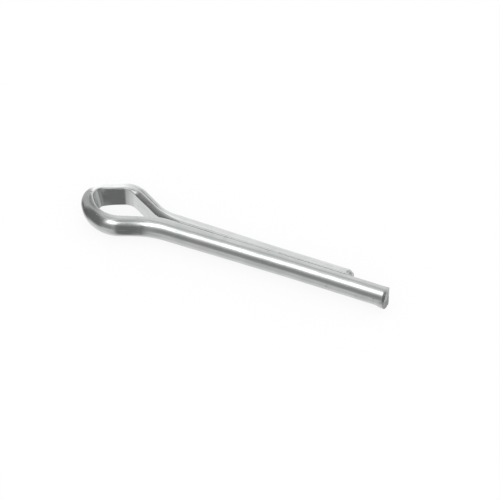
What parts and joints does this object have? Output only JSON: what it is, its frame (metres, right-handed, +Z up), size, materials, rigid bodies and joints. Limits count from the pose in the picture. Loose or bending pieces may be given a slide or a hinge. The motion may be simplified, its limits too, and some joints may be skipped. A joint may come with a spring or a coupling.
{
  "type": "cotter pin",
  "caption": "Split cotter pin bent from half-round wire, with a teardrop eye and one leg longer than the other.",
  "frame": {"origin": "on the shank's axis, where the two legs come together and the closed round stretch of the shank begins", "axes": "+X along the shank towards the tips, +Y towards the short leg, +Z up, along the hole of the eye, with the pin lying flat"},
  "size_m": [0.0566, 0.0109, 0.0044],
  "materials": {
    "zinc_plated_steel": "bright zinc plating, fairly smooth"
  },
  "bodies": {
    "root": {"cotter_pin": "zinc_plated_steel"}
  },
  "joints": []
}
